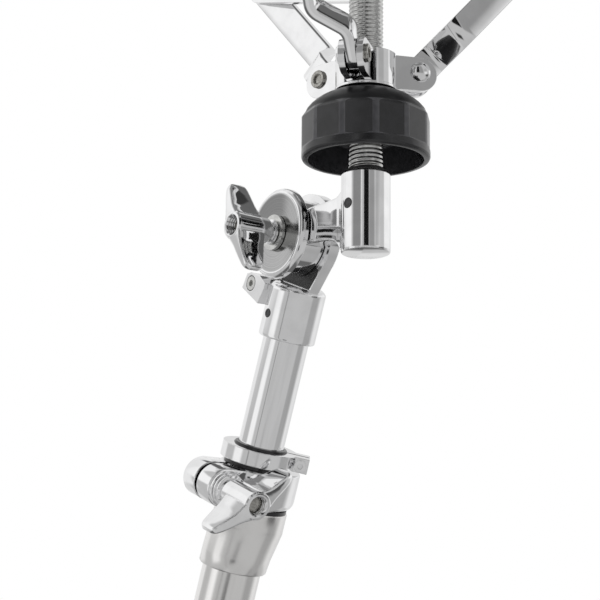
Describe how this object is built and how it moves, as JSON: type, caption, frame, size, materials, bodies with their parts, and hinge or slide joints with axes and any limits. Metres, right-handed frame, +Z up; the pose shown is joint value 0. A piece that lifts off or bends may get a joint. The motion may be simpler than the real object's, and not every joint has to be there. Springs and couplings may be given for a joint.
{
  "type": "snare drum stand",
  "caption": "Folding stand that holds a snare drum in a tilting basket of hinged arms, on a telescoping tube with a braced tripod.",
  "frame": {"origin": "on the floor, under the tube's axis", "axes": "+Z up along the tube, +X under the first leg and the tilter's arm, +Y away from the tilter's wing nut"},
  "size_m": [0.4648, 0.435, 0.7696],
  "materials": {
    "chrome": "polished",
    "satin_steel": "satin",
    "zinc_steel": "plated",
    "black_plastic": "semi-matte",
    "rubber": "matte"
  },
  "bodies": {
    "base": {"lower_tube": "satin_steel", "tube_plug": "rubber", "bottom_bracket": "chrome", "bracket_pins": "chrome", "housing": "satin_steel", "height_clamp": "chrome", "clamp_liner": "black_plastic", "clamp_bolt": "chrome"},
    "clamp_wing": {"clamp_wing_nut": "chrome"},
    "leg_collar": {"leg_collar": "chrome", "collar_pins": "chrome"},
    "collar_wing": {"collar_wing_bolt": "chrome"},
    "upper": {"upper_tube": "chrome", "tilter_base": "chrome", "pinch_screw": "chrome", "tilter_bolt": "zinc_steel"},
    "memory_lock": {"memory_lock": "chrome", "lock_bush": "black_plastic", "lock_screw": "zinc_steel"},
    "tilter_wing": {"tilter_wing_nut": "chrome"},
    "tilter": {"tilter_arm": "chrome", "tilter_plate": "chrome", "tilter_washer": "chrome", "post": "chrome", "post_screw": "zinc_steel", "threaded_rod": "zinc_steel", "spider": "chrome", "spider_pins": "zinc_steel", "rod_cap": "chrome"},
    "hub": {"hub_plate_1": "chrome", "hub_plate_2": "chrome", "hub_plate_3": "chrome", "hub_rivets": "chrome", "hub_sleeve": "chrome"},
    "basket_nut": {"basket_nut": "black_plastic", "nut_insert": "zinc_steel"},
    "brace_1": {"brace_1": "chrome"},
    "leg_1": {"leg_1": "chrome", "foot_1": "rubber"},
    "arm_1": {"arm_1": "chrome", "tip_1": "rubber"},
    "link_1": {"link_1": "chrome"},
    "brace_2": {"brace_2": "chrome"},
    "leg_2": {"leg_2": "chrome", "foot_2": "rubber"},
    "arm_2": {"arm_2": "chrome", "tip_2": "rubber"},
    "link_2": {"link_2": "chrome"},
    "brace_3": {"brace_3": "chrome"},
    "leg_3": {"leg_3": "chrome", "foot_3": "rubber"},
    "arm_3": {"arm_3": "chrome", "tip_3": "rubber"},
    "link_3": {"link_3": "chrome"}
  },
  "joints": [
    {"name": "height_slide", "type": "slide", "parent": "base", "child": "upper", "axis": [0, 0, 1], "range_m": [0, 0.12]},
    {"name": "memory_lock_slide", "type": "slide", "parent": "upper", "child": "memory_lock", "axis": [0, 0, 1], "range_m": [0, 0.05]},
    {"name": "tilter_hinge", "type": "hinge", "parent": "upper", "child": "tilter", "pos_m": [0, -0.0095, 0.5001], "axis": [0, 1, 0], "range_deg": [-65, 55]},
    {"name": "tilter_wing_turn", "type": "hinge", "parent": "upper", "child": "tilter_wing", "pos_m": [0, -0.03, 0.5001], "axis": [0, -1, 0], "range_deg": [0, 720]},
    {"name": "clamp_wing_turn", "type": "hinge", "parent": "base", "child": "clamp_wing", "pos_m": [0.02, -0.0227, 0.3775], "axis": [1, 0, 0], "range_deg": [0, 720]},
    {"name": "leg_collar_slide", "type": "slide", "parent": "base", "child": "leg_collar", "axis": [0, 0, 1], "range_m": [0, 0.08704]},
    {"name": "collar_wing_turn", "type": "hinge", "parent": "leg_collar", "child": "collar_wing", "pos_m": [-0.03, 0, 0.13], "axis": [-1, 0, 0], "range_deg": [0, 720]},
    {"name": "brace_1_swing", "type": "hinge", "parent": "base", "child": "brace_1", "pos_m": [0.03, 0, 0.042], "axis": [0, -1, 0], "range_deg": [0, 54.01]},
    {"name": "brace_2_swing", "type": "hinge", "parent": "base", "child": "brace_2", "pos_m": [-0.015, 0.02598, 0.042], "axis": [0.866, 0.5, 0], "range_deg": [0, 54.01]},
    {"name": "brace_3_swing", "type": "hinge", "parent": "base", "child": "brace_3", "pos_m": [-0.015, -0.02598, 0.042], "axis": [-0.866, 0.5, 0], "range_deg": [0, 54.01]},
    {"name": "leg_1_swing", "type": "hinge", "parent": "brace_1", "child": "leg_1", "pos_m": [0.10621, 0, 0.086], "axis": [0, 1, 0], "range_deg": [0, 108.02]},
    {"name": "leg_2_swing", "type": "hinge", "parent": "brace_2", "child": "leg_2", "pos_m": [-0.0531, 0.09198, 0.086], "axis": [-0.866, -0.5, 0], "range_deg": [0, 108.02]},
    {"name": "leg_3_swing", "type": "hinge", "parent": "brace_3", "child": "leg_3", "pos_m": [-0.0531, -0.09198, 0.086], "axis": [0.866, -0.5, 0], "range_deg": [0, 108.02]},
    {"name": "hub_slide", "type": "slide", "parent": "tilter", "child": "hub", "axis": [-0.3811, 0, 0.9245], "range_m": [0, 0.014]},
    {"name": "basket_nut_turn", "type": "hinge", "parent": "hub", "child": "basket_nut", "pos_m": [0.04244, -0.0095, 0.54409], "axis": [-0.3811, 0, 0.9245], "range_deg": [0, 2520.01]},
    {"name": "arm_1_swing", "type": "hinge", "parent": "hub", "child": "arm_1", "pos_m": [0.03391, 0.01359, 0.58708], "axis": [0.8677, -0.3453, 0.3576], "range_deg": [0, 7.99]},
    {"name": "arm_2_swing", "type": "hinge", "parent": "hub", "child": "arm_2", "pos_m": [0.00364, -0.01369, 0.57461], "axis": [-0.1574, 0.9854, -0.0649], "range_deg": [0, 7.99]},
    {"name": "arm_3_swing", "type": "hinge", "parent": "hub", "child": "arm_3", "pos_m": [0.04061, -0.0284, 0.58985], "axis": [-0.7103, -0.6401, -0.2928], "range_deg": [0, 7.99]},
    {"name": "link_1_swing", "type": "hinge", "parent": "tilter", "child": "link_1", "pos_m": [0.01299, 0.00364, 0.62822], "axis": [0.8677, -0.3453, 0.3576], "range_deg": [0, 19.35]},
    {"name": "link_2_swing", "type": "hinge", "parent": "tilter", "child": "link_2", "pos_m": [-0.00423, -0.01188, 0.62112], "axis": [-0.1574, 0.9854, -0.0649], "range_deg": [0, 19.35]},
    {"name": "link_3_swing", "type": "hinge", "parent": "tilter", "child": "link_3", "pos_m": [0.01681, -0.02026, 0.62979], "axis": [-0.7103, -0.6401, -0.2928], "range_deg": [0, 19.35]}
  ],
  "couplings": [
    {"joint": "brace_1_swing", "follows": "leg_collar_slide", "rad_per_m": 10.829},
    {"joint": "brace_2_swing", "follows": "leg_collar_slide", "rad_per_m": 10.829},
    {"joint": "brace_3_swing", "follows": "leg_collar_slide", "rad_per_m": 10.829},
    {"joint": "leg_1_swing", "follows": "leg_collar_slide", "rad_per_m": 21.657},
    {"joint": "leg_2_swing", "follows": "leg_collar_slide", "rad_per_m": 21.657},
    {"joint": "leg_3_swing", "follows": "leg_collar_slide", "rad_per_m": 21.657},
    {"joint": "basket_nut_turn", "follows": "hub_slide", "rad_per_m": 3141.6},
    {"joint": "arm_1_swing", "follows": "hub_slide", "rad_per_m": 9.9469},
    {"joint": "arm_2_swing", "follows": "hub_slide", "rad_per_m": 9.9469},
    {"joint": "arm_3_swing", "follows": "hub_slide", "rad_per_m": 9.9469},
    {"joint": "link_1_swing", "follows": "hub_slide", "rad_per_m": 24.11},
    {"joint": "link_2_swing", "follows": "hub_slide", "rad_per_m": 24.11},
    {"joint": "link_3_swing", "follows": "hub_slide", "rad_per_m": 24.11}
  ]
}
